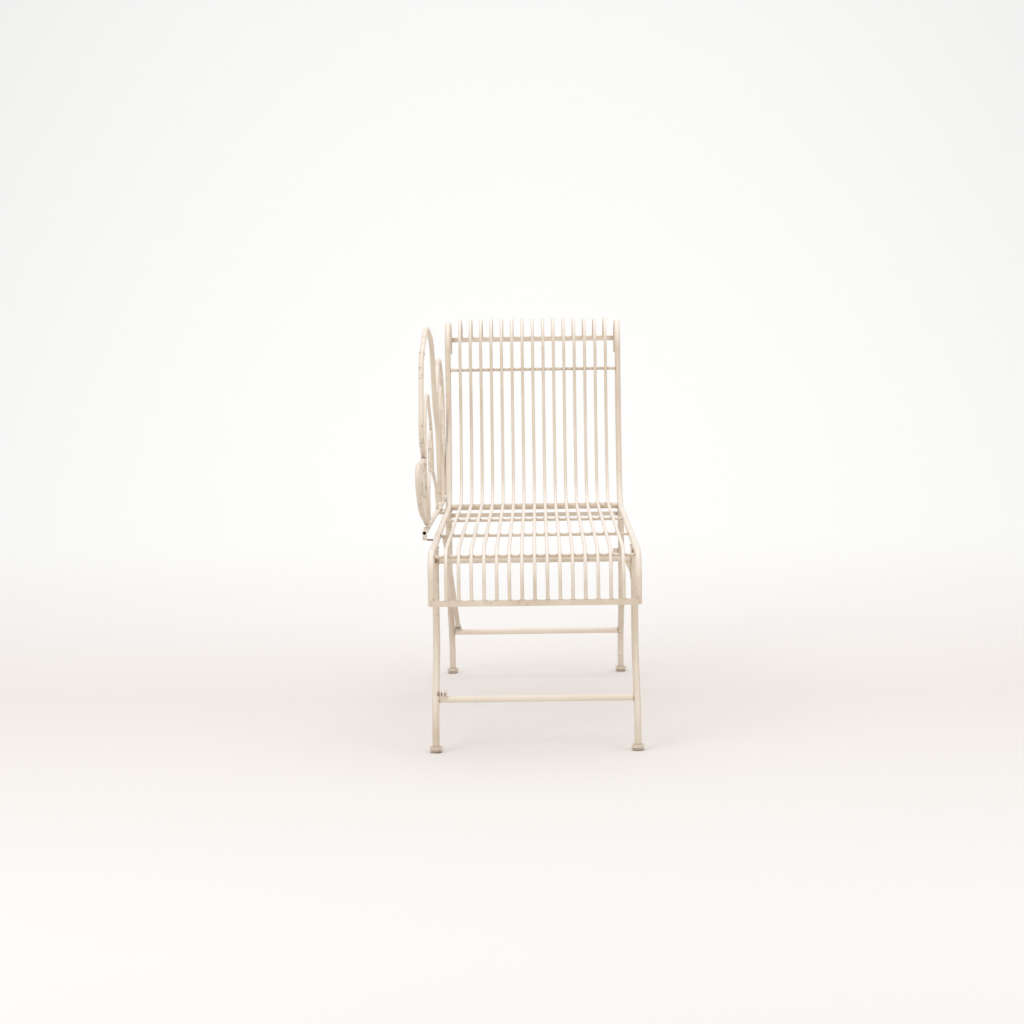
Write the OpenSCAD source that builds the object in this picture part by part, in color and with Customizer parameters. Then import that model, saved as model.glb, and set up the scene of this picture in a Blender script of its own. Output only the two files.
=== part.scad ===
/* [Seat frame] */
// Distance between the centre lines of the two side tubes
frame_w = 450; // [430:1:460]
// Outside diameter of the two side tubes
tube_d = 15; // [14:0.5:15]
// Height of the side tubes' centre line along the seat
seat_z = 453.5; // [445:0.5:460]
// Distance of the corner bar from the foot end
seat_len = 1108; // [1100:1:1120]
// Bend radius of the side tubes at the foot end
foot_bend_r = 55; // [50:1:60]
// Height of the cut ends of the side tubes at the foot end
foot_tip_z = 343; // [338:1:348]

/* [Head end] */
// Bend radius of the side tubes where the seat turns up
corner_r = 100; // [90:1:110]
// Angle through which the seat turns up before the gentle curve
back_angle = 68; // [64:1:70]
// Radius of the gentle curve that brings the back upright
back_curve_r = 624; // [600:1:650]
// Straight upright length below the rolled top
back_upright = 116; // [105:1:125]
// Radius of the rolled top at the side tubes
roll_r = 66; // [62:1:70]
// Straight end of the side tubes below the rolled top
roll_tail = 16; // [12:1:20]

/* [Rods and bars] */
// Diameter of the long rods
rod_d = 8; // [7:0.5:8]
// Spacing of the long rods
rod_pitch = 27.5; // [27:0.5:28]
// Diameter of the thin cross bars under the seat
seat_bar_d = 7; // [6:0.5:7]
// Diameter of the corner bar
corner_bar_d = 15.5; // [14:0.5:16]
// Height of the flat end bars
end_bar_h = 13; // [11:0.5:14]
// Thickness of the flat end bars
end_bar_t = 5; // [4:0.5:5]
// Diameter of the thin bar across the back
back_bar_d = 8; // [7:0.5:8]
// Height of the thin bar across the back
back_bar_z = 811; // [795:1:825]

/* [Legs] */
// Outside diameter of a leg
leg_d = 16; // [15:0.5:16]
// Distance of the foot-end feet from the foot end
foot_leg_y = 111; // [105:1:120]
// Distance of the head-end feet behind the corner bar
head_leg_y = 104; // [98:1:110]
// How far each leg sweeps between its foot and its top
leg_sweep = 120; // [115:1:125]
// Angle of the swept stretch of a leg
leg_angle = 42; // [41:1:43]
// Bend radius of a leg
leg_bend_r = 110; // [105:1:115]
// Straight length of a leg above its foot
leg_foot_len = 29; // [27:1:31]
// Diameter of a foot disc
disc_d = 29; // [27:1:31]
// Height of a foot, its lower pad and its disc together
disc_t = 13; // [12:0.5:14]
// Diameter of the lower pad of a foot
pad_d = 24; // [22:1:25]
// Height of the stretchers
stretcher_z = 114.5; // [112:0.5:117]
// Diameter of the stretchers
stretcher_d = 15; // [14:0.5:15]
// Height of the round rail between the foot-end legs
foot_rail_z = 415; // [410:1:420]
// Height of the flat rail between the head-end legs
head_rail_z = 435; // [430:1:438]

/* [Side panel] */
// Diameter of the panel's bottom rail and outer scrolls
scroll_d = 12; // [11:0.5:12]
// Diameter of the panel's inner scrolls
fine_d = 8; // [7:0.5:8]
// Distance of the panel from the middle of the seat at the foot end
panel_x = 258.5; // [258:0.5:261]
// Angle by which the panel opens out towards the foot end
panel_splay = 0.9; // [0.8:0.05:0.9]
// Height of the panel's bottom rail
panel_rail_z = 469; // [468:1:470]

/* [Hidden] */
$fn = 28;
ROD_COUNT = 15;
SIDES = ["left", "right"];
ENDS = ["foot", "head"];
FRAME_PAINT = [0.89, 0.84, 0.76];
BAR_PAINT = [0.86, 0.80, 0.71];
LEG_PAINT = [0.87, 0.82, 0.73];
PANEL_PAINT = [0.84, 0.77, 0.67];
STEEL = [0.45, 0.40, 0.34];

function sx(side) = side == "left" ? -1 : 1;
function two_digits(n) = n < 10 ? str("0", n) : str(n);

// A thin welded seam bridges each pair of runs, this much thicker and this long
seam_extra = 0.1;
seam_len = 2;

// The rods lie on the cross bars, above the middle of the side tubes
rod_lift = 10;
bar_lift = rod_lift - rod_d / 2 - seat_bar_d / 2;
foot_bar_angle = 58.5;
foot_bar_reach = foot_bend_r + bar_lift;
seat_bar_gap = 360;
mid_bar_y = seat_len - 2 * seat_bar_gap - 4;
rear_bar_y = seat_len - seat_bar_gap - 4;

// Side profiles as runs of [straight length, turn, bend radius]; a positive turn
// leads towards the head end, a negative one back towards the foot end
foot_straight = seat_z - foot_bend_r - foot_tip_z;
corner_start = seat_len - 28;
back_turn = 90 - back_angle;
tube_path = [
    [foot_straight, 90, foot_bend_r],
    [corner_start - foot_bend_r, -back_angle, corner_r],
    [0, -back_turn, back_curve_r],
    [back_upright, 180, roll_r],
    [roll_tail, 0, 1]
];
rod_roll_r = roll_r + rod_lift;
rod_roll_turn = 158;
rod_path = [
    [foot_straight - end_bar_h, 90, foot_bend_r + rod_lift],
    [corner_start - foot_bend_r, -back_angle, corner_r - rod_lift],
    [0, -back_turn, back_curve_r - rod_lift],
    [back_upright, rod_roll_turn, rod_roll_r]
];

// Place of the upright back and of the middle of the rolled top
back_y = corner_start + corner_r * sin(back_angle) + back_curve_r * (1 - sin(back_angle));
roll_z = seat_z + corner_r * (1 - cos(back_angle)) + back_curve_r * cos(back_angle) + back_upright;
roll_y = back_y + roll_r;
corner_reach = corner_r - rod_lift + rod_d / 2 + corner_bar_d / 2;
corner_bar_z = seat_z + corner_r - sqrt(pow(corner_reach, 2) - pow(seat_len - corner_start, 2));

// Leg profile
leg_straight = (leg_sweep - 2 * leg_bend_r * (1 - cos(leg_angle))) / sin(leg_angle);
leg_bends_top = disc_t + leg_foot_len + 2 * leg_bend_r * sin(leg_angle)
              + leg_straight * cos(leg_angle);
leg_top_z = seat_z - tube_d / 3;
leg_path = [
    [leg_foot_len, leg_angle, leg_bend_r],
    [leg_straight, -leg_angle, leg_bend_r],
    [leg_top_z - leg_bends_top, 0, 1]
];
head_foot_y = seat_len + head_leg_y;
foot_leg_top_y = foot_leg_y + leg_sweep;
head_leg_top_y = head_foot_y - leg_sweep;
stretcher_dy = leg_bend_r - sqrt(pow(leg_bend_r, 2) - pow(stretcher_z - disc_t - leg_foot_len, 2));

// Small parts of the legs
head_rail_h = 10.5;
head_rail_t = 4;
head_rail_y = head_leg_top_y + leg_d / 2 - head_rail_t / 2;
foot_rail_d = 11.5;
strap_w = 7.5;
strap_t = 3;
strap_x = [-198, 169];
gusset_w = 16;
gusset_h = 52;
gusset_t = 4;
gusset_r = 92.5;
tab_size = [14, 3, 12];
tab_z = 332;
bolt_head_d = 9;
bolt_head_t = 3;
leg_bolt_z = [417, 434];

// Lugs on the stretchers and the diagonal brace
lug_w = 16;
lug_x = frame_w / 2 - leg_d / 2 - lug_w / 2 - 1;
lug_r = 8;
lug_eye_z = stretcher_z + stretcher_d / 2 + 5;
lug_web = 5;
lug_slot = 2.75;
lug_pin_d = 5;
brace_w = 12;
brace_t = 5;
brace_tongue = 26;
head_lug_y = head_foot_y - stretcher_dy;
brace_rise = seat_z - lug_eye_z;
brace_run = head_lug_y - mid_bar_y;
brace_len = sqrt(pow(brace_rise, 2) + pow(brace_run, 2));
brace_tilt = atan2(brace_rise, brace_run);

// The panel's members as start point [along the seat, height], heading and runs
rail_start = 330;
volute_tip_y = 132;
rail_len = 884;
rail_bore = 8;
rail_bore_depth = 60;
volute = [[421, 483], -77, [[161, 27, 240], [28, 140, 28], [175, 100, 50], [4, 90, 26],
    [92, 165, 17], [62, 0, 1]]];
arch = [[353, 641], -57, [[60, 74, 47], [119, 52, 65], [90, 33, 281], [86, 50, 131],
    [85, -37, 143], [7, 49, 131], [143, 0, 1]]];
inner_loop = [[470, 478], -29, [[100, 39, 143], [36, 117, 100], [67, 40, 166], [36, 0, 1]]];
low_scroll = [[524, 481], -19, [[15, 104, 70], [28, 26, 257], [85, 50, 102], [12, 0, 1]]];
rear_volute = [[905, 698], -20, [[16, 58, 70], [19, 76, 127], [9, 62, 192], [188, 0, 1]]];
inner_curl = [[582, 590], -12, [[50, 100, 38], [6, 150, 20], [6, 0, 1]]];
back_scroll = [[1120, 479], 8, [[70, -60, 60], [60, 110, 70], [20, 150, 34], [10, 0, 1]]];
leaf_t = 2;
leaf_span = [0, 15];
rear_leaf_span = [5, 12];
tip_swell = 1.4;
lug_block = [9, 16, 14];
lug_block_y = rail_start + 12;
lug_hole_d = 5;
lug_lap = 3;
lug_bolt_d = 4;
lug_bolt_shift = [5, -2];
rivet_y = [440, 541, 980, 1150];
rivet_d = 6;
rivet_h = 3;
strap_y = 900;
strap_size = [22, 90, 6];
strap_lap = 4;

// Lengths of seat tube and leg cut out of the parts shaped round them
tube_stub = 40;
leg_stub = 80;

// The model is centred on its own length and width
foot_face_y = -rod_lift - rod_d / 2;
head_face_y = roll_y + rod_roll_r + rod_d / 2;
mid_y = (foot_face_y + head_face_y) / 2;
left_face_x = -panel_x + volute_tip_y * sin(panel_splay) - scroll_d / 2 * cos(panel_splay);
right_face_x = frame_w / 2 + disc_d / 2;
mid_x = (left_face_x + right_face_x) / 2;

// ---------- helpers ----------

module centred() {
    translate([-mid_x, -mid_y, 0])
        children();
}

// Round bar or tube bent in the vertical lengthwise plane, starting at the origin heading up;
// tip is the diameter of a forged ball at its far end
module bent(path, d, tip = 0, i = 0) {
    if (i < len(path)) {
        run = path[i][0];
        turn = path[i][1];
        r = path[i][2];
        if (run > 0)
            cylinder(d = d, h = run);
        if (i == len(path) - 1 && tip > 0)
            translate([0, 0, run])
                sphere(d = tip);
        if (turn != 0)
            translate([0, 0, run]) {
                if (run > 0)
                    seam(d);
                bend(turn, r, d);
                translate([0, sign(turn) * r * (1 - cos(turn)), r * sin(abs(turn))])
                    rotate([-turn, 0, 0]) {
                        if (i < len(path) - 1)
                            seam(d);
                        bent(path, d, tip, i + 1);
                    }
            }
    }
}

// One bend that starts at the origin, heads up and turns towards +Y
module bend(turn, r, d) {
    mirror([0, turn < 0 ? 1 : 0, 0])
        translate([0, r, 0])
            rotate([90, 0, -90])
                rotate_extrude(angle = abs(turn))
                    translate([r, 0])
                        circle(d = d);
}

module seam(d) {
    translate([0, 0, -seam_len / 2])
        cylinder(d = d + seam_extra, h = seam_len);
}

// Straight round bar along X, centred
module cross_bar(d, len = frame_w) {
    translate([-len / 2, 0, 0])
        rotate([0, 90, 0])
            cylinder(d = d, h = len);
}

// Stretch of both side tubes used to shape the bar ends that meet them
module seat_tube_run(y) {
    for (side = SIDES)
        translate([sx(side) * frame_w / 2, y - tube_stub / 2, seat_z])
            rotate([-90, 0, 0])
                cylinder(d = tube_d, h = tube_stub);
}

module leg_shape(end, side) {
    translate([sx(side) * frame_w / 2, end == "foot" ? foot_leg_y : head_foot_y, disc_t])
        mirror([0, end == "foot" ? 0 : 1, 0])
            bent(leg_path, leg_d);
}

// Upright stretches of both legs of one end used to shape the rails between them
module leg_tops(y, z) {
    for (side = SIDES)
        translate([sx(side) * frame_w / 2, y, z - leg_stub / 2])
            cylinder(d = leg_d, h = leg_stub);
}

// ---------- frame ----------

module side_tube(side) {
    color(FRAME_PAINT)
        centred()
            translate([sx(side) * frame_w / 2, 0, foot_tip_z])
                bent(tube_path, tube_d);
}

module long_rod(i) {
    color(FRAME_PAINT)
        centred()
            translate([(i - (ROD_COUNT + 1) / 2) * rod_pitch, -rod_lift, foot_tip_z + end_bar_h])
                bent(rod_path, rod_d);
}

module foot_end_bar() {
    color(BAR_PAINT)
        centred()
            translate([-frame_w / 2, -rod_lift - end_bar_t / 2, foot_tip_z])
                cube([frame_w, end_bar_t, end_bar_h]);
}

module head_end_bar() {
    color(BAR_PAINT)
        centred()
            translate([0, roll_y, roll_z])
                rotate([180 - rod_roll_turn, 0, 0])
                    translate([-frame_w / 2, rod_roll_r - end_bar_t / 2, -end_bar_h])
                        cube([frame_w, end_bar_t, end_bar_h]);
}

module foot_bend_bar() {
    color(BAR_PAINT)
        centred()
            difference() {
                translate([0, foot_bend_r - foot_bar_reach * cos(foot_bar_angle),
                    seat_z - foot_bend_r + foot_bar_reach * sin(foot_bar_angle)])
                    cross_bar(seat_bar_d);
                for (side = SIDES)
                    translate([sx(side) * frame_w / 2, 0, foot_tip_z + foot_straight])
                        bend(90, foot_bend_r, tube_d);
            }
}

module seat_bar(y) {
    color(BAR_PAINT)
        centred()
            difference() {
                translate([0, y, seat_z + bar_lift])
                    cross_bar(seat_bar_d);
                seat_tube_run(y);
            }
}

module corner_bar() {
    color(BAR_PAINT)
        centred()
            difference() {
                translate([0, seat_len, corner_bar_z])
                    cross_bar(corner_bar_d);
                for (side = SIDES)
                    translate([sx(side) * frame_w / 2, corner_start, seat_z])
                        rotate([-90, 0, 0])
                            bend(back_angle, corner_r, tube_d);
            }
}

module back_bar() {
    color(BAR_PAINT)
        centred()
            difference() {
                translate([0, back_y - rod_lift + rod_d / 2 + back_bar_d / 2, back_bar_z])
                    cross_bar(back_bar_d);
                for (side = SIDES)
                    translate([sx(side) * frame_w / 2, back_y, back_bar_z - tube_stub / 2])
                        cylinder(d = tube_d, h = tube_stub);
            }
}

// ---------- legs ----------

module leg(end, side) {
    color(LEG_PAINT)
        centred()
            difference() {
                leg_shape(end, side);
                seat_tube_run(end == "foot" ? foot_leg_top_y : head_leg_top_y);
            }
}

module foot_disc(end, side) {
    color(STEEL)
        centred()
            translate([sx(side) * frame_w / 2, end == "foot" ? foot_leg_y : head_foot_y, 0])
                foot_turning();
}

// Disc on a slightly narrower pad
module foot_turning() {
    cylinder(d = pad_d, h = disc_t);
    translate([0, 0, disc_t / 2])
        cylinder(d = disc_d, h = disc_t / 2);
}

module stretcher(end) {
    color(LEG_PAINT)
        centred()
            difference() {
                translate([0, end == "foot" ? foot_leg_y + stretcher_dy : head_lug_y, stretcher_z])
                    cross_bar(stretcher_d);
                for (side = SIDES)
                    leg_shape(end, side);
            }
}

module foot_leg_rail() {
    color(LEG_PAINT)
        centred()
            difference() {
                translate([0, foot_leg_top_y, foot_rail_z])
                    cross_bar(foot_rail_d);
                leg_tops(foot_leg_top_y, foot_rail_z);
            }
}

module head_leg_rail() {
    color(LEG_PAINT)
        centred()
            difference() {
                translate([0, head_rail_y, head_rail_z])
                    cube([frame_w - leg_d + 4, head_rail_t, head_rail_h], center = true);
                leg_tops(head_leg_top_y, head_rail_z);
            }
}

module rail_strap(x) {
    strap_low = head_rail_z - head_rail_h / 2;
    color(LEG_PAINT)
        centred()
            difference() {
                translate([x - strap_w / 2, head_rail_y + head_rail_t / 2, strap_low])
                    cube([strap_w, strap_t, corner_bar_z - strap_low]);
                translate([0, seat_len, corner_bar_z])
                    cross_bar(corner_bar_d);
            }
}

// Flat gusset with one hollow edge in the upper right corner of the foot-end legs
module rail_gusset() {
    color(LEG_PAINT)
        centred()
            difference() {
                translate([frame_w / 2 - leg_d / 2 + 1, foot_leg_top_y + gusset_t / 2,
                    foot_rail_z - foot_rail_d / 2 + 1])
                    rotate([90, 90, 0])
                        linear_extrude(gusset_t)
                            difference() {
                                translate([0, -gusset_w])
                                    square([gusset_h, gusset_w]);
                                translate([gusset_h, -gusset_r])
                                    circle(r = gusset_r, $fn = 120);
                            }
                leg_tops(foot_leg_top_y, foot_rail_z - 20);
                translate([0, foot_leg_top_y, foot_rail_z])
                    cross_bar(foot_rail_d);
            }
}

module leg_tab() {
    color(LEG_PAINT)
        centred()
            difference() {
                translate([frame_w / 2 - leg_d / 2 - tab_size[0] + 1,
                    head_leg_top_y - tab_size[1] / 2, tab_z])
                    cube(tab_size);
                leg_tops(head_leg_top_y, tab_z);
            }
}

// Four bolt heads on the outward faces of the leg tops
module leg_bolts() {
    color(STEEL)
        centred()
            for (end = ENDS, i = [0, 1]) {
                out = end == "foot" ? -1 : 1;
                y = end == "foot" ? foot_leg_top_y : head_leg_top_y;
                difference() {
                    translate([(2 * i - 1) * frame_w / 2, y + out * leg_d / 2, leg_bolt_z[i]])
                        rotate([90, 0, 0])
                            cylinder(d = bolt_head_d, h = 2 * bolt_head_t, center = true);
                    leg_tops(y, leg_bolt_z[i]);
                }
            }
}

module lug_profile(w) {
    rotate([0, 90, 0])
        translate([0, 0, -w / 2])
            linear_extrude(w) {
                circle(r = lug_r);
                translate([0, -lug_r])
                    square([lug_eye_z - stretcher_z, 2 * lug_r]);
            }
}

// Forked ear on a stretcher; the foot-end one keeps a web between its slots
module stretcher_lug(end) {
    y = end == "foot" ? foot_leg_y + stretcher_dy : head_lug_y;
    color(LEG_PAINT)
        centred()
            difference() {
                translate([-lug_x, y, lug_eye_z])
                    lug_profile(lug_w);
                translate([0, y, stretcher_z])
                    cross_bar(stretcher_d);
                if (end == "foot")
                    for (s = [-1, 1])
                        translate([-lug_x + s * (lug_web + lug_slot) / 2, y, lug_eye_z])
                            lug_slot_cut(lug_slot);
                else
                    translate([-lug_x, y, lug_eye_z])
                        lug_slot_cut(lug_web + 2 * lug_slot);
                translate([-lug_x, y, lug_eye_z])
                    cross_bar(lug_pin_d, 2 * lug_w);
            }
}

module lug_slot_cut(w) {
    translate([-w / 2, -2 * lug_r, stretcher_z + stretcher_d / 2 + 0.5 - lug_eye_z])
        cube([w, 4 * lug_r, 4 * lug_r]);
}

module lug_pins() {
    color(STEEL)
        centred()
            for (y = [foot_leg_y + stretcher_dy, head_lug_y])
                translate([-lug_x, y, lug_eye_z])
                    cross_bar(lug_pin_d, lug_w + 1);
}

// Diagonal flat brace from the mid seat bar to the head-end lug
module brace() {
    color(BAR_PAINT)
        centred()
            difference() {
                translate([-lug_x, head_lug_y, lug_eye_z])
                    rotate([90 - brace_tilt, 0, 0]) {
                        translate([-brace_w / 2, -brace_t / 2, brace_tongue])
                            cube([brace_w, brace_t, brace_len - brace_tongue]);
                        translate([-lug_web / 2, -brace_t / 2, 0])
                            cube([lug_web, brace_t, brace_tongue + 1]);
                        translate([-lug_web / 2, 0, 0])
                            rotate([0, 90, 0])
                                cylinder(r = lug_r - 2, h = lug_web);
                    }
                translate([0, mid_bar_y, seat_z + bar_lift])
                    cross_bar(seat_bar_d);
                translate([-lug_x, head_lug_y, lug_eye_z])
                    cross_bar(lug_pin_d, 2 * lug_w);
                translate([0, head_lug_y, stretcher_z])
                    cross_bar(stretcher_d);
            }
}

// ---------- side panel ----------

module on_panel() {
    centred()
        translate([-panel_x, 0, 0])
            rotate([0, 0, -panel_splay])
                children();
}

// Centre-line points of a member in the panel's plane, five to each run and bend
function outline(path, at, heading, i = 0) =
    i == len(path) ? [] :
    let (
        turn = path[i][1],
        r = sign(turn) * path[i][2],
        bend_at = at + path[i][0] * [sin(heading), cos(heading)]
    )
    concat(
        [at],
        [for (k = [0:3]) bend_at + r * bend_step(heading, turn * k / 4)],
        outline(path, bend_at + r * bend_step(heading, turn), heading + turn, i + 1)
    );

// Shift along a bend of radius one that turns from a heading
function bend_step(heading, turn) =
    [cos(heading) - cos(heading + turn), sin(heading + turn) - sin(heading)];

module panel_member(shape, d, tip = 0) {
    translate([0, shape[0][0], shape[0][1]])
        rotate([-shape[1], 0, 0])
            bent(shape[2], d, tip);
}

module rail_bar() {
    translate([0, rail_start, panel_rail_z])
        rotate([-90, 0, 0])
            cylinder(d = scroll_d, h = rail_len);
}

module panel_rail() {
    color(PANEL_PAINT)
        on_panel()
            difference() {
                rail_bar();
                translate([0, rail_start - 1, panel_rail_z])
                    rotate([-90, 0, 0])
                        cylinder(d = rail_bore, h = rail_bore_depth);
            }
}

module panel_scroll(shape, d, tip = 0) {
    color(PANEL_PAINT)
        on_panel()
            difference() {
                panel_member(shape, d, tip);
                rail_bar();
            }
}

// Sheet filling a loop of a member, between two of the member's outline points
module leaf_sheet(shape, span) {
    points = outline(shape[2], shape[0], shape[1]);
    translate([-leaf_t / 2, 0, 0])
        rotate([90, 0, 90])
            linear_extrude(leaf_t)
                polygon([for (k = [span[0]:span[1]]) points[k]]);
}

module panel_leaf() {
    color(PANEL_PAINT)
        on_panel()
            difference() {
                leaf_sheet(volute, leaf_span);
                panel_member(volute, scroll_d, scroll_d * tip_swell);
                rail_bar();
            }
}

module panel_rear_leaf() {
    color(PANEL_PAINT)
        on_panel()
            difference() {
                leaf_sheet(rear_volute, rear_leaf_span);
                panel_member(rear_volute, scroll_d);
            }
}

module panel_arch() {
    color(PANEL_PAINT)
        on_panel()
            difference() {
                panel_member(arch, scroll_d);
                rail_bar();
                panel_member(volute, scroll_d);
            }
}

// Fine scroll with a foot on the low scroll
module panel_upper_scroll(shape, tip = 0) {
    color(PANEL_PAINT)
        on_panel()
            difference() {
                panel_member(shape, fine_d, tip);
                rail_bar();
                panel_member(low_scroll, fine_d);
            }
}

module panel_rear_volute() {
    color(PANEL_PAINT)
        on_panel()
            difference() {
                panel_member(rear_volute, scroll_d);
                rail_bar();
                panel_member(arch, scroll_d);
            }
}

// Small drilled block under the open end of the rail
module panel_lug() {
    color(PANEL_PAINT)
        on_panel()
            difference() {
                translate([-lug_block[0] / 2, lug_block_y - lug_block[1] / 2,
                    panel_rail_z - scroll_d / 2 - lug_block[2] + lug_lap])
                    cube(lug_block);
                rail_bar();
                translate([0, 0, panel_rail_z - scroll_d])
                    translate([0, lug_block_y - lug_block[1], 0])
                        rotate([-90, 0, 0])
                            cylinder(d = lug_hole_d, h = 2 * lug_block[1]);
            }
}

// Thin bolt between the block and the side tube
module panel_lug_bolt() {
    bolt_x = -panel_x * cos(panel_splay) + lug_block_y * sin(panel_splay) + lug_block[0] / 2;
    color(STEEL)
        centred()
            difference() {
                translate([bolt_x, lug_block_y + lug_bolt_shift[0], seat_z + lug_bolt_shift[1]])
                    rotate([0, 90, 0])
                        cylinder(d = lug_bolt_d, h = -frame_w / 2 - bolt_x);
                seat_tube_run(lug_block_y);
            }
}

// Flat strap that carries the back of the rail on the side tube
module panel_strap() {
    color(BAR_PAINT)
        centred()
            difference() {
                translate([-frame_w / 2 - tube_d / 2 - strap_size[0] + strap_lap, strap_y,
                    seat_z + strap_lap])
                    cube([strap_size[0], strap_size[1], strap_size[2]]);
                translate([-frame_w / 2, strap_y - 10, seat_z])
                    rotate([-90, 0, 0])
                        cylinder(d = tube_d, h = strap_size[1] + 20);
                translate([-panel_x, 0, 0])
                    rotate([0, 0, -panel_splay])
                        rail_bar();
            }
}

// Rivet heads on the outer face of the rail where the scrolls are fixed
module panel_rivets() {
    color(STEEL)
        on_panel()
            difference() {
                for (y = rivet_y)
                    translate([-scroll_d / 2 - 1, y, panel_rail_z])
                        rotate([0, 90, 0])
                            cylinder(d = rivet_d, h = rivet_h);
                rail_bar();
            }
}

side_tube("left");  // left_side_tube
side_tube("right");  // right_side_tube
for (i = [1:ROD_COUNT])
    long_rod(i);
foot_end_bar();
foot_bend_bar();
seat_bar(mid_bar_y);  // mid_seat_bar
seat_bar(rear_bar_y);  // rear_seat_bar
corner_bar();
back_bar();
head_end_bar();
for (end = ENDS, side = SIDES) {
    leg(end, side);
    foot_disc(end, side);
}
for (end = ENDS)
    stretcher(end);
foot_leg_rail();
head_leg_rail();
rail_strap(strap_x[0]);  // left_rail_strap
rail_strap(strap_x[1]);  // right_rail_strap
rail_gusset();
leg_tab();
leg_bolts();
stretcher_lug("foot");  // foot_lug
stretcher_lug("head");  // head_lug
lug_pins();
brace();
panel_rail();
panel_scroll(volute, scroll_d, scroll_d * tip_swell);  // panel_volute
panel_leaf();
panel_rear_leaf();
panel_arch();
panel_upper_scroll(inner_loop);  // panel_inner_loop
panel_upper_scroll(inner_curl, fine_d * tip_swell);  // panel_inner_curl
panel_scroll(low_scroll, fine_d);  // panel_low_scroll
panel_rear_volute();
panel_scroll(back_scroll, fine_d, fine_d * tip_swell);  // panel_back_scroll
panel_lug();
panel_lug_bolt();
panel_strap();
panel_rivets();
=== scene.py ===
"""Looks of the rod-seat daybed: worn antique cream paint, welds, clips and studio."""
import math
import random

import bmesh
import bpy
from mathutils import Matrix, Vector


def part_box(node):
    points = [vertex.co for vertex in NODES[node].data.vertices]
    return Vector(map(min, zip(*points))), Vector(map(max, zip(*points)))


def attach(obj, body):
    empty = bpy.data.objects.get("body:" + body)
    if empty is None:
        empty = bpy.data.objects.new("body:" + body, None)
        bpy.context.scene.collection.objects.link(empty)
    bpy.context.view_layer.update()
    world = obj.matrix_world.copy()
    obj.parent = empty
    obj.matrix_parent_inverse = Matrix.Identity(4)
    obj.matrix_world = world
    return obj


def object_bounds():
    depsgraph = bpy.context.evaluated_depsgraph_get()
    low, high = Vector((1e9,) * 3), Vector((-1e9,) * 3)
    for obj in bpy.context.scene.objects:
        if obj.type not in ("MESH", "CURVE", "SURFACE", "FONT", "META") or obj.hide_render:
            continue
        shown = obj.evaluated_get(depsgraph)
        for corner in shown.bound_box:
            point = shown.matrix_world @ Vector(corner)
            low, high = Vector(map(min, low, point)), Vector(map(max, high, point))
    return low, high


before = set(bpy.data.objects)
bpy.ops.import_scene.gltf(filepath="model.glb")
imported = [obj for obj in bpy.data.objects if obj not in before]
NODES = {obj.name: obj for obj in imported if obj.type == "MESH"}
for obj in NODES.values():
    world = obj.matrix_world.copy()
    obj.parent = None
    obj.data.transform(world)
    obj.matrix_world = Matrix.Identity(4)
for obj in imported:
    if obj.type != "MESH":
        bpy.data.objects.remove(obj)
LOW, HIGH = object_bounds()
random.seed(7)

RODS = [f"long_rod_{i:02d}" for i in range(1, 16)]
TUBES = ["left_side_tube", "right_side_tube"]
LEGS = [f"{end}_{side}_leg" for end in ("foot", "head") for side in ("left", "right")]
LEAVES = ["panel_leaf", "panel_rear_leaf"]
HARDWARE = ["leg_bolts", "panel_lug_bolt", "panel_rivets"]


# ---------- materials ----------

# Colours that every paint shares
BROWN = (0.25, 0.145, 0.08)
SUNLIT = (0.93, 0.86, 0.81)
SPOT = (0.16, 0.1, 0.06)
BLACK, WHITE = (0, 0, 0), (1, 1, 1)

# Noise scales, in turns per metre: tone, streaks, rubbed patches and where they gather, specks, grain
CLOUD_SCALE, STREAK_SCALE = 9, 46
PATCH_SCALE, BLOTCH_SCALE = 70, 6
SPECK_SCALE, GRAIN_SCALE = 420, 240

JOINT_REACH = 0.02
BUMP_DEPTH = 0.0006


def node_of(tree, kind, **values):
    """A new shader node with its properties set."""
    made = tree.nodes.new(kind)
    for key, value in values.items():
        setattr(made, key, value)
    return made


def ramp(tree, source, stops):
    """A colour ramp over a value, from (place, colour) stops."""
    made = node_of(tree, "ShaderNodeValToRGB")
    tree.links.new(source, made.inputs["Fac"])
    elements = made.color_ramp.elements
    while len(elements) < len(stops):
        elements.new(0.5)
    for element, (place, colour) in zip(elements, stops):
        element.position = place
        element.color = (*colour, 1)
    return made.outputs["Color"]


def noise(tree, coords, scale, detail=4, rough=0.55):
    """A noise value over some coordinates."""
    made = node_of(tree, "ShaderNodeTexNoise")
    made.inputs["Scale"].default_value = scale
    made.inputs["Detail"].default_value = detail
    made.inputs["Roughness"].default_value = rough
    tree.links.new(coords, made.inputs["Vector"])
    return made.outputs["Fac"]


def mix(tree, amount, a, b):
    """Colour a turning to colour b; each may be a socket or a value."""
    made = node_of(tree, "ShaderNodeMix", data_type="RGBA", blend_type="MIX")
    for value, name in ((amount, "Factor"), (a, "A"), (b, "B")):
        socket = [s for s in made.inputs if s.name == name and s.type in ("VALUE", "RGBA")]
        socket = socket[0] if name == "Factor" else socket[-1]
        if hasattr(value, "links"):
            tree.links.new(value, socket)
        else:
            socket.default_value = value if name == "Factor" else (*value, 1)
    return [s for s in made.outputs if s.type == "RGBA"][0]


def math_node(tree, operation, a, b):
    """A clamped sum between two sockets or values."""
    made = node_of(tree, "ShaderNodeMath", operation=operation, use_clamp=True)
    for i, value in enumerate((a, b)):
        if hasattr(value, "links"):
            tree.links.new(value, made.inputs[i])
        else:
            made.inputs[i].default_value = value
    return made.outputs[0]


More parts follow.
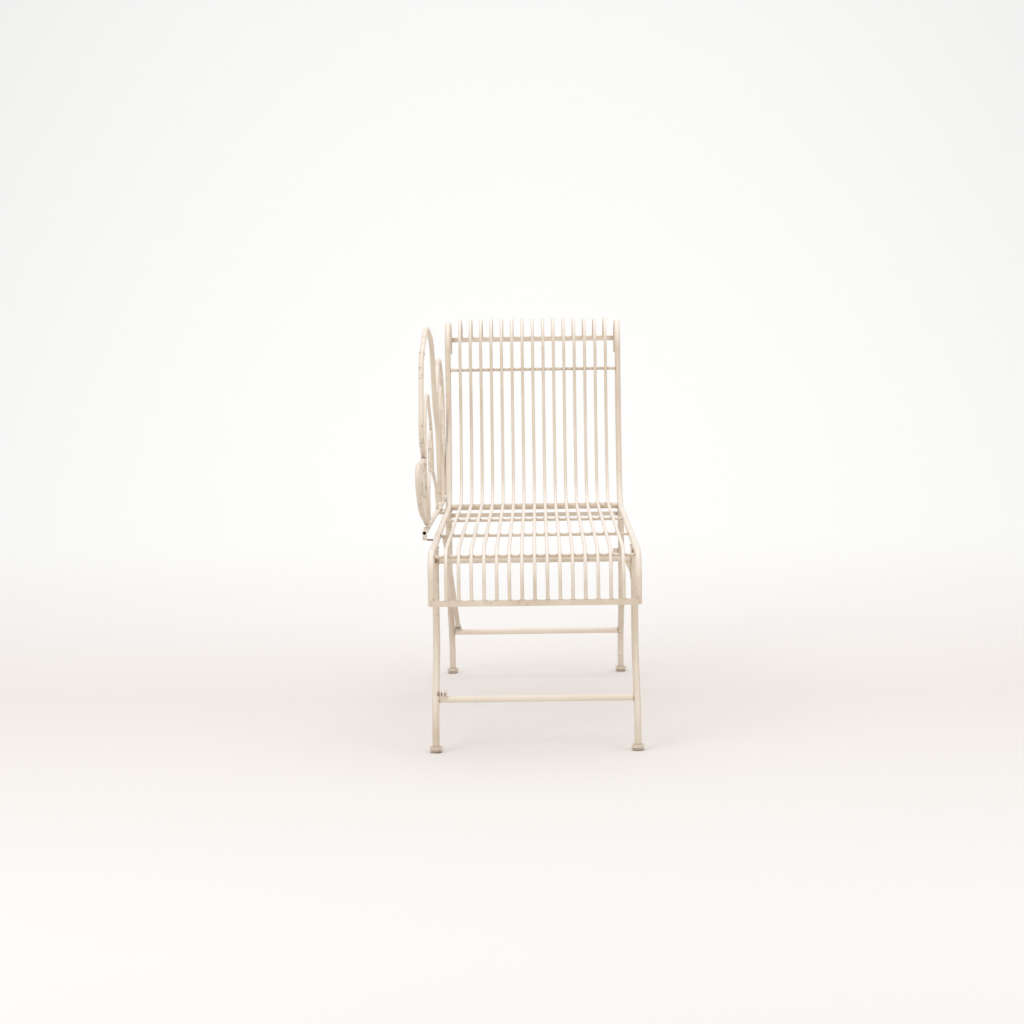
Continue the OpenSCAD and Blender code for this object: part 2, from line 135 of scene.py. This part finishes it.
def worn_paint(name, cream, shade, brown, wear, top_highlight=0.35):
    """Cream paint over brown, rubbed through in patches, browner where parts meet from patina and
    painted shade, with a painted highlight on top.
    """
    material = bpy.data.materials.new(name)
    material.use_nodes = True
    tree = material.node_tree
    tree.nodes.clear()
    out = node_of(tree, "ShaderNodeOutputMaterial")
    skin = node_of(tree, "ShaderNodeBsdfPrincipled")
    tree.links.new(skin.outputs[0], out.inputs[0])
    coords = node_of(tree, "ShaderNodeTexCoord").outputs["Object"]
    geometry = node_of(tree, "ShaderNodeNewGeometry")

    cloud = noise(tree, coords, CLOUD_SCALE, 3)
    tone = ramp(tree, cloud, [(0.32, shade), (0.68, cream)])
    streak = noise(tree, coords, STREAK_SCALE, 6, 0.7)
    tone = mix(tree, math_node(tree, "MULTIPLY", streak, 0.5), tone, shade)

    # Painted highlight: faces that point upward are mixed toward SUNLIT, a lighter colour.
    split = node_of(tree, "ShaderNodeSeparateXYZ")
    tree.links.new(geometry.outputs["Normal"], split.inputs[0])
    upward = math_node(tree, "MULTIPLY", split.outputs["Z"], top_highlight)
    tone = mix(tree, upward, tone, SUNLIT)

    # Patina and painted shade: ambient occlusion browns the paint where parts meet and in recesses,
    # where shade falls.
    corner = node_of(tree, "ShaderNodeAmbientOcclusion", samples=6)
    corner.inputs["Distance"].default_value = JOINT_REACH
    closed = math_node(tree, "SUBTRACT", 0.86, corner.outputs["AO"])
    joint_patina_and_shade = math_node(tree, "MULTIPLY", closed, math_node(tree, "ADD", cloud, 0.35))
    tone = mix(tree, math_node(tree, "MULTIPLY", joint_patina_and_shade, 0.95), tone, brown)

    patch = noise(tree, coords, PATCH_SCALE, 8, 0.72)
    rubbed = ramp(tree, patch, [(wear, BLACK), (wear + 0.05, WHITE)])
    blotch = ramp(tree, noise(tree, coords, BLOTCH_SCALE, 2), [(0.45, BLACK), (0.7, WHITE)])
    bare = math_node(tree, "MULTIPLY", rubbed, blotch)
    tone = mix(tree, math_node(tree, "MULTIPLY", bare, 0.75), tone, brown)

    speck = noise(tree, coords, SPECK_SCALE, 2)
    dots = ramp(tree, speck, [(0.7, BLACK), (0.74, WHITE)])
    tone = mix(tree, math_node(tree, "MULTIPLY", dots, 0.6), tone, SPOT)
    tree.links.new(tone, skin.inputs["Base Color"])

    gloss = ramp(tree, patch, [(0.3, (0.38, 0.38, 0.38)), (0.75, (0.66, 0.66, 0.66))])
    tree.links.new(gloss, skin.inputs["Roughness"])
    bump = node_of(tree, "ShaderNodeBump")
    bump.inputs["Strength"].default_value = 0.22
    bump.inputs["Distance"].default_value = BUMP_DEPTH
    height = mix(tree, 0.5, noise(tree, coords, GRAIN_SCALE, 4), rubbed)
    tree.links.new(height, bump.inputs["Height"])
    tree.links.new(bump.outputs[0], skin.inputs["Normal"])
    return material


# Each paint: its cream, its shade, the brown under it, where wear starts and how strong the painted
# highlight on tops is
paints = {
    "tube": worn_paint("tube_paint", (0.79, 0.7, 0.59), (0.67, 0.56, 0.445), BROWN, 0.60, 0.6),
    "rod": worn_paint("rod_paint", (0.79, 0.705, 0.6), (0.66, 0.557, 0.445), BROWN, 0.62, 0.75),
    "bar": worn_paint("bar_paint", (0.765, 0.67, 0.55), (0.625, 0.515, 0.395), BROWN, 0.57, 0.3),
    # Painted light: a lighter copy of the cream for the stretchers and head end bar, standing in for
    # the brighter light on them.
    "lit_pale": worn_paint("pale_paint", (0.86, 0.77, 0.66), (0.75, 0.65, 0.535), BROWN, 0.62, 0.3),
    "leg": worn_paint("leg_paint", (0.775, 0.69, 0.58), (0.64, 0.535, 0.425), BROWN, 0.58, 0.3),
    "panel": worn_paint("panel_paint_worn", (0.85, 0.76, 0.65), (0.69, 0.585, 0.47),
                        (0.23, 0.135, 0.075), 0.55, 0.3),
    "leaf": worn_paint("leaf_paint", (0.84, 0.75, 0.64), (0.77, 0.67, 0.555), BROWN, 0.68, 0.3),
    "weld": worn_paint("weld_paint", (0.65, 0.54, 0.41), (0.47, 0.35, 0.24), BROWN, 0.52, 0.3),
    "steel": worn_paint("hardware_patina", (0.42, 0.32, 0.22), (0.22, 0.14, 0.085),
                        (0.09, 0.055, 0.035), 0.5, 0.1),
    # Painted shade: near-black paint that stands in for the shade inside the tube ends.
    "hollow": worn_paint("tube_inside_shade", (0.05, 0.035, 0.025), (0.03, 0.02, 0.015),
                         (0.02, 0.015, 0.01), 0.6, 0.0),
}


def paint(obj, name):
    """Give an object one of the paints."""
    obj.data.materials.clear()
    obj.data.materials.append(paints[name])


def paint_for(node):
    """The paint that a CAD node wears."""
    if node in TUBES:
        return "tube"
    # Stretchers and head end bar wear the lighter copy of the cream, which stands in for brighter
    # light: painted light.
    if node.endswith("_stretcher") or node == "head_end_bar":
        return "lit_pale"
    if node in RODS:
        return "rod"
    if node in HARDWARE:
        return "steel"
    if node in LEAVES:
        return "leaf"
    if node.startswith("panel_"):
        return "panel"
    if node.endswith(("_leg", "_disc", "_lug", "_rail", "_strap", "leg_tab", "lug_pins")):
        return "leg"
    return "bar"


# Edge radii of the parts whose edges show, in metres
DISC_EDGE = 0.0012
SOFT_EDGES = {"foot_end_bar": 0.0012, "head_end_bar": 0.0012, "head_leg_rail": 0.0007,
              "brace": 0.0008, "leg_tab": 0.0005, "panel_lug": 0.0008, "panel_strap": 0.0006,
              "left_rail_strap": 0.0004, "right_rail_strap": 0.0004, "leg_bolts": 0.0009,
              "foot_lug": 0.0006, "head_lug": 0.0006}
for name, node in NODES.items():
    paint(node, paint_for(name))
    width = DISC_EDGE if name.endswith("_disc") else SOFT_EDGES.get(name)
    if width:
        edge = node.modifiers.new("soft_edge", "BEVEL")
        edge.width = width
        edge.segments = 3
        edge.limit_method = "ANGLE"
        edge.angle_limit = math.radians(40)
        edge.harden_normals = False


# ---------- helpers for made pieces ----------

X_AXIS, Y_AXIS, Z_AXIS = (1, 0, 0), (0, 1, 0), (0, 0, 1)
ANY_TURN = 6.28


def add_piece(name, mesh, look):
    """Link a mesh as a smooth, painted piece that rides with the frame."""
    obj = bpy.data.objects.new(name, mesh)
    bpy.context.scene.collection.objects.link(obj)
    for face in mesh.polygons:
        face.use_smooth = True
    paint(obj, look)
    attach(obj, "root")
    return obj


def finish_shape(name, shape, look):
    """Turn a built shape into a piece."""
    mesh = bpy.data.meshes.new(name)
    bmesh.ops.recalc_face_normals(shape, faces=shape.faces)
    shape.to_mesh(mesh)
    shape.free()
    return add_piece(name, mesh, look)


def lump(shape, centre, size, rough=0.12):
    """One small uneven bead of weld metal."""
    made = bmesh.ops.create_icosphere(shape, subdivisions=2, radius=1)
    turn = Matrix.Rotation(random.uniform(0, ANY_TURN), 3, "Z")
    for vert in made["verts"]:
        bulge = 1 + random.uniform(-rough, rough)
        place = turn @ vert.co * bulge
        vert.co = Vector(centre) + Vector((place[i] * size[i] for i in range(3)))


def ring(shape, centre, axis, radius, thick, around=36, rough=0.0, flat=1.0):
    """A round or rippled band about an axis; flat stretches it along the axis."""
    section, ripples = 8, 11
    axis = Vector(axis).normalized()
    side = axis.orthogonal().normalized()
    other = axis.cross(side)
    rows = []
    for i in range(around):
        turn = 2 * math.pi * i / around
        out = side * math.cos(turn) + other * math.sin(turn)
        swell = 1 + rough * math.sin(turn * ripples) + random.uniform(-rough, rough) * 0.5
        row = []
        for j in range(section):
            roll = 2 * math.pi * j / section
            place = Vector(centre) + out * (radius + thick * swell * math.cos(roll))
            place += axis * thick * swell * flat * math.sin(roll)
            row.append(shape.verts.new(place))
        rows.append(row)
    for i in range(around):
        for j in range(section):
            k, m = (i + 1) % around, (j + 1) % section
            shape.faces.new((rows[i][j], rows[k][j], rows[k][m], rows[i][m]))


def middle(node):
    """Centre of a node's box."""
    low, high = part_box(node)
    return (low + high) / 2


def bar_radius(bar):
    """Half the height of a straight cross bar."""
    low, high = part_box(bar)
    return (high.z - low.z) / 2


def mean_where(node, test):
    """Mean place of a node's vertices that pass a test, or None."""
    found = [v.co for v in NODES[node].data.vertices if test(v.co)]
    return sum(found, Vector()) / len(found) if found else None


def half_width(node):
    """Half the width of a node across the seat."""
    low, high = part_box(node)
    return (high.x - low.x) / 2


rod_x = [middle(rod).x for rod in RODS]
tube_x = [middle(tube).x for tube in TUBES]
rod_r = half_width(RODS[0])
tube_r = half_width(TUBES[0])

# ---------- welds of the frame ----------

WELD_RIPPLE = 0.3
BEAD_SINK = 0.0003
BEAD_LIFT = 0.0002

# For each bar under or behind the rods: the way its beads face, and their size
BAR_BEADS = {
    "foot_bend_bar": ((0, -0.52, 0.85), (0.0021, 0.0026, 0.0018)),
    "mid_seat_bar": ((0, 0, 1), (0.0022, 0.0028, 0.0017)),
    "rear_seat_bar": ((0, 0, 1), (0.0022, 0.0028, 0.0017)),
    "back_bar": ((0, -1, 0), (0.0022, 0.0018, 0.0026)),
}


def bar_beads(bar, facing, size):
    """Two beads where each rod lies on a cross bar."""
    offset = Vector(facing) * (bar_radius(bar) + BEAD_LIFT)
    centre = middle(bar)
    shape = bmesh.new()
    for x in rod_x:
        for side in (-1, 1):
            at = Vector((x + side * (rod_r - BEAD_SINK), centre.y, centre.z)) + offset
            lump(shape, at, [s * random.uniform(0.8, 1.2) for s in size])
    finish_shape(bar + "_welds", shape, "weld")


for bar, (facing, size) in BAR_BEADS.items():
    bar_beads(bar, facing, size)

END_BEADS = 5
END_BEAD_SIZE = (0.0019, 0.0013, 0.0014)
END_BEAD_LIFT = 0.0004
TIP_REACH = 0.004


def rod_end(rod, bar):
    """Where a rod ends on a flat end bar: its place along the seat and its height."""
    low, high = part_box(bar)
    if bar == "foot_end_bar":
        return (low.y + high.y) / 2, high.z
    tip = [v.co for v in NODES[rod].data.vertices
           if v.co.y > low.y - TIP_REACH and v.co.z < high.z + TIP_REACH]
    return sum(c.y for c in tip) / len(tip), min(c.z for c in tip)


def end_bar_beads(bar):
    """Beads round the end of each rod on a flat end bar."""
    shape = bmesh.new()
    for rod, x in zip(RODS, rod_x):
        y, z = rod_end(rod, bar)
        for k in range(END_BEADS):
            turn = k * 2 * math.pi / END_BEADS + random.uniform(-0.4, 0.4)
            spot = (x + math.cos(turn) * rod_r, y + math.sin(turn) * rod_r * 0.55, z + END_BEAD_LIFT)
            lump(shape, spot, END_BEAD_SIZE)
    finish_shape(bar + "_welds", shape, "weld")


for bar in ("foot_end_bar", "head_end_bar"):
    end_bar_beads(bar)


def end_rings(shape, bar, reach, thick, around):
    """A weld ring at each end of a bar, at a reach inside the centre lines of the side tubes."""
    centre = middle(bar)
    for side, x in zip((1, -1), tube_x):
        ring(shape, (x + side * reach, centre.y, centre.z), X_AXIS, bar_radius(bar), thick, around,
             WELD_RIPPLE)


# The round side tube curves away from a bar, so its ring is drawn in by a share of the bar's radius
RING_SINK = 0.0004
RING_DRAWN_IN = 0.2 * math.sin(0.4)

shape = bmesh.new()
for bar in ("foot_bend_bar", "mid_seat_bar", "rear_seat_bar", "corner_bar", "back_bar"):
    end_rings(shape, bar, tube_r - RING_SINK - RING_DRAWN_IN * bar_radius(bar), 0.0011, 30)
finish_shape("frame_weld_rings", shape, "weld")

LEG_REACH = 0.0078
LEG_RING_R = 0.0079


def leg_rings(shape, leg):
    """A weld ring round the top of a leg and one where it stands on its disc."""
    low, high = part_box(leg)
    x = (low.x + high.x) / 2
    top = mean_where(leg, lambda c: c.z > high.z - 0.03)
    base = mean_where(leg, lambda c: c.z < low.z + 0.002)
    ring(shape, (x, top.y, high.z - 0.0016), Z_AXIS, LEG_RING_R, 0.0014, 40, WELD_RIPPLE)
    ring(shape, (x, base.y, low.z + 0.0006), Z_AXIS, LEG_RING_R, 0.0012, 40, 0.25)


shape = bmesh.new()
for bar in ("foot_stretcher", "head_stretcher", "foot_leg_rail"):
    end_rings(shape, bar, LEG_REACH, 0.0013, 36)
for leg in LEGS:
    leg_rings(shape, leg)
finish_shape("leg_weld_rings", shape, "weld")

# Beads where the rail straps, the tab and the gusset are welded on
GUSSET_BEADS = 7
shape = bmesh.new()
for strap in ("left_rail_strap", "right_rail_strap"):
    low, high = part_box(strap)
    for x in (low.x, high.x):
        lump(shape, (x, low.y, low.z + 0.006), (0.001, 0.0016, 0.004))
        lump(shape, (x, (low.y + high.y) / 2, high.z - 0.0035), (0.001, 0.0022, 0.003))
low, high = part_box("leg_tab")
for z in (low.z + 0.002, (low.z + high.z) / 2, high.z - 0.002):
    lump(shape, (high.x - 0.0008, low.y, z), (0.0012, 0.0012, 0.0022))
low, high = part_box("rail_gusset")
for k in range(GUSSET_BEADS):
    z = low.z + (high.z - low.z) * (k + 0.5) / GUSSET_BEADS
    lump(shape, (high.x - 0.0006, low.y + 0.0004, z), (0.0012, 0.001, 0.003))
finish_shape("small_welds", shape, "weld")

# ---------- welds and clips of the side panel ----------

SCROLL_R, THIN_R = 0.006, 0.004
RAIL_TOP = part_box("panel_rail")[1].z
PANEL_BEAD_SIZE = (0.0019, 0.0023, 0.0016)
PANEL_BEADS = 9

# Where members stand on the rail: the member, whether it is its back foot, and its radius
PANEL_FEET = (("panel_volute", True, SCROLL_R), ("panel_arch", True, SCROLL_R),
              ("panel_inner_loop", False, THIN_R), ("panel_low_scroll", False, THIN_R),
              ("panel_low_scroll", True, THIN_R), ("panel_rear_volute", True, SCROLL_R),
              ("panel_back_scroll", False, THIN_R))


def foot_of(node, behind):
    """Point where a panel member stands on the rail, at its front or its back foot."""
    found = [v.co for v in NODES[node].data.vertices if v.co.z < RAIL_TOP + 0.012]
    if not found:
        return None
    edge = (max if behind else min)(c.y for c in found)
    near = [c for c in found if abs(c.y - edge) < 0.02]
    return sum(near, Vector()) / len(near)


def foot_beads(shape, at, radius):
    """A collar of beads round the foot of a member, following the round top of the rail."""
    for k in range(PANEL_BEADS):
        turn = 2 * math.pi * k / PANEL_BEADS
        fall = abs(math.cos(turn)) * radius * 0.35
        spot = (at.x + math.cos(turn) * radius * 0.95, at.y + math.sin(turn) * radius * 1.2,
                RAIL_TOP - 0.0012 + 0.0002 * (k % 3) - fall)
        lump(shape, spot, PANEL_BEAD_SIZE)


shape = bmesh.new()
for node, behind, radius in PANEL_FEET:
    at = foot_of(node, behind)
    if at:
        foot_beads(shape, at, radius)
finish_shape("panel_foot_welds", shape, "weld")

# Beads where the arch comes down on the front volute
ARCH_BEADS = 10
volute_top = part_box("panel_volute")[1].z
arch_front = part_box("panel_arch")[0].y
at = mean_where("panel_arch", lambda c: c.y < arch_front + 0.09 and c.z < volute_top + 0.012)
shape = bmesh.new()
for k in range(ARCH_BEADS):
    turn = 2 * math.pi * k / ARCH_BEADS
    lump(shape, (at.x + 0.0058 * math.cos(turn), at.y + 0.009 * math.sin(turn),
                 volute_top - 0.0008 - 0.002 * abs(math.cos(turn))), (0.0018, 0.0026, 0.0018))
finish_shape("panel_arch_welds", shape, "weld")

CLIP_PITCH = 0.0026
CLIP_THICK = 0.0009

# Clips: the name, the member, how far along it, the heights between, and the clip's radius
CLIPS = (("clip_arch_front", "panel_arch", 0.10, 0.80, 0.90, 0.0062),
         ("clip_rear_volute", "panel_rear_volute", 0.30, 0.75, 0.9, 0.0062),
         ("clip_inner_loop", "panel_inner_loop", 0.45, 0.7, 0.8, 0.0043))


def strand(node, y, z_low, z_high):
    """Middle of a panel member where it crosses a place along the seat."""
    return mean_where(node, lambda c: abs(c.y - y) < 0.012 and z_low < c.z < z_high)


def clip(name, node, y, z_low, z_high, radius):
    """A hammered band wrapped round one member."""
    here = strand(node, y, z_low, z_high)
    way = strand(node, y + 0.01, z_low, z_high) - here
    shape = bmesh.new()
    for step in (-1, 0, 1):
        ring(shape, here + way.normalized() * step * CLIP_PITCH, way, radius, CLIP_THICK, 32, 0.08,
             1.7)
    finish_shape(name, shape, "panel")


for name, node, along, z_low, z_high, radius in CLIPS:
    low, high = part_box(node)
    clip(name, node, low.y + (high.y - low.y) * along, z_low, z_high, radius)

# ---------- tube ends, feet and washers ----------

# Painted shade: a near-black disc in each tube end stands in for the shade inside the tube.
BORE_SHARE = 0.8
BORE_SIDES = 32
BORE_PROUD = 0.00005
shape = bmesh.new()
for tube, x in zip(TUBES, tube_x):
    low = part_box(tube)[0]
    rim = []
    for i in range(BORE_SIDES):
        turn = 2 * math.pi * i / BORE_SIDES
        rim.append(shape.verts.new((x + math.cos(turn) * tube_r * BORE_SHARE,
                                    low.y + tube_r + math.sin(turn) * tube_r * BORE_SHARE,
                                    low.z - BORE_PROUD)))
    shape.faces.new(rim)
finish_shape("tube_end_bore_shade", shape, "hollow")

# Painted shadow: a dark ring at the bottom of each foot disc stands in for the contact shadow along
# its lower edge.
SHADOW_PAD_SHARE = 0.81
SHADOW_PAD_THICK = 0.001
for end in ("foot", "head"):
    shape = bmesh.new()
    for side in ("left", "right"):
        disc = f"{end}_{side}_foot_disc"
        centre, low = middle(disc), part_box(disc)[0]
        ring(shape, (centre.x, centre.y, low.z + 0.0011), Z_AXIS, half_width(disc) * SHADOW_PAD_SHARE,
             SHADOW_PAD_THICK, 48)
    finish_shape(f"{end}_disc_shadow_pads", shape, "steel")

# Washers under the bolt heads of the legs
WASHER_R, WASHER_THICK = 0.0046, 0.0007
shape = bmesh.new()
for leg in LEGS:
    low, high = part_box(leg)
    leg_y = middle(leg).y
    bolt = mean_where("leg_bolts", lambda c: low.x < c.x < high.x and abs(c.y - leg_y) < 0.09)
    if bolt:
        out = -1 if leg.startswith("foot") else 1
        ring(shape, (bolt.x, bolt.y - out * 0.0006, bolt.z), Y_AXIS, WASHER_R, WASHER_THICK, 36, 0.0,
             0.8)
finish_shape("bolt_washers", shape, "steel")

# ---------- studio ----------

# The paper's tone: in front of the object, darker under it as a painted shadow, and far behind it
PAPER_FRONT, PAPER_UNDER_SHADOW, PAPER_BACK = (0.84, 0.83, 0.82), (0.77, 0.73, 0.705), (0.83, 0.83, 0.83)
PAPER_FROM, PAPER_TO, UNDER_AT = -2.2, 3.2, 0.44

paper = bpy.data.materials.new("studio_floor")
paper.use_nodes = True
tree = paper.node_tree
skin = tree.nodes["Principled BSDF"]
skin.inputs["Roughness"].default_value = 0.9
skin.inputs["Specular IOR Level"].default_value = 0.2
split = node_of(tree, "ShaderNodeSeparateXYZ")
tree.links.new(node_of(tree, "ShaderNodeTexCoord").outputs["Object"], split.inputs[0])
depth = node_of(tree, "ShaderNodeMapRange")
depth.inputs["From Min"].default_value = PAPER_FROM
depth.inputs["From Max"].default_value = PAPER_TO
tree.links.new(split.outputs["Y"], depth.inputs["Value"])
sheet = ramp(tree, depth.outputs["Result"],
             [(0, PAPER_FRONT), (UNDER_AT, PAPER_UNDER_SHADOW), (1, PAPER_BACK)])
tree.links.new(sheet, skin.inputs["Base Color"])

# A paper sweep: flat floor, a wide curve and an upright back
SWEEP_START, SWEEP_RADIUS, SWEEP_STEPS = 2.4, 4.2, 32
SWEEP_FRONT, SWEEP_TOP, SWEEP_SIDE = -12, 9, 30
profile = [(SWEEP_FRONT, 0)]
for i in range(SWEEP_STEPS + 1):
    turn = i / SWEEP_STEPS * math.pi / 2
    profile.append((SWEEP_START + SWEEP_RADIUS * math.sin(turn),
                    SWEEP_RADIUS * (1 - math.cos(turn))))
profile.append((SWEEP_START + SWEEP_RADIUS, SWEEP_TOP))
shape = bmesh.new()
rows = [[shape.verts.new((x, y, z)) for x in (-SWEEP_SIDE, SWEEP_SIDE)] for y, z in profile]
for a, b in zip(rows[:-1], rows[1:]):
    shape.faces.new((a[0], a[1], b[1], b[0]))
floor_mesh = bpy.data.meshes.new("floor")
shape.to_mesh(floor_mesh)
shape.free()
for face in floor_mesh.polygons:
    face.use_smooth = True
floor_mesh.materials.append(paper)
floor = bpy.data.objects.new("floor", floor_mesh)
bpy.context.scene.collection.objects.link(floor)

bpy.context.scene.view_settings.view_transform = "Standard"
world = bpy.data.worlds.new("studio")
bpy.context.scene.world = world
world.use_nodes = True
sky = world.node_tree.nodes["Background"]
sky.inputs["Color"].default_value = (1, 0.995, 0.985, 1)
sky.inputs["Strength"].default_value = 0.74


def soft_light(name, place, target, size, power, colour):
    """A square or oblong lamp at a place, turned to a target."""
    data = bpy.data.lights.new(name, "AREA")
    data.shape = "RECTANGLE"
    data.size, data.size_y = size
    data.energy = power
    data.color = colour
    obj = bpy.data.objects.new(name, data)
    obj.location = place
    obj.rotation_euler = (Vector(target) - Vector(place)).to_track_quat("-Z", "Y").to_euler()
    bpy.context.scene.collection.objects.link(obj)


centre = (LOW + HIGH) / 2
soft_light("key", (-2.6, -3.2, 3.4), centre, (2.4, 2.4), 62, (1, 0.99, 0.975))
soft_light("fill", (3.0, -2.6, 2.2), centre, (2.6, 2.2), 26, (1, 0.99, 0.975))
soft_light("top", (0.2, 0.4, 4.2), centre, (3.2, 3.2), 46, (1, 0.995, 0.99))
soft_light("back_wash", (0, 2.6, 4.2), (0, 6, 1), (7, 3), 75, (1, 1, 1))

# ---------- camera at the picture's viewing angle ----------

TUBE_MIDDLE = (tube_x[0] + tube_x[1]) / 2
FOOT_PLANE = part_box("foot_end_bar")[0].y
CAMERA_AHEAD = 5.1933
CAMERA_HEIGHT = 1.0412
CAMERA_SIDE = 0.010
YAW, PITCH, ROLL = -0.0110, 0.0947, -0.0143
FOCAL, SENSOR = 85, 36
look = Vector((math.sin(YAW) * math.cos(PITCH), math.cos(YAW) * math.cos(PITCH), -math.sin(PITCH)))
right = Vector((math.cos(YAW), -math.sin(YAW), 0))
up = right.cross(look)
right_rolled = right * math.cos(ROLL) + up * math.sin(ROLL)
up_rolled = -right * math.sin(ROLL) + up * math.cos(ROLL)
camera_data = bpy.data.cameras.new("camera")
camera_data.lens = FOCAL
camera_data.sensor_width = SENSOR
camera = bpy.data.objects.new("camera", camera_data)
place = Vector((TUBE_MIDDLE + CAMERA_SIDE, FOOT_PLANE - CAMERA_AHEAD, CAMERA_HEIGHT))
camera.matrix_world = Matrix((
    (right_rolled.x, up_rolled.x, -look.x, place.x),
    (right_rolled.y, up_rolled.y, -look.y, place.y),
    (right_rolled.z, up_rolled.z, -look.z, place.z),
    (0, 0, 0, 1)))
bpy.context.scene.collection.objects.link(camera)
bpy.context.scene.camera = camera
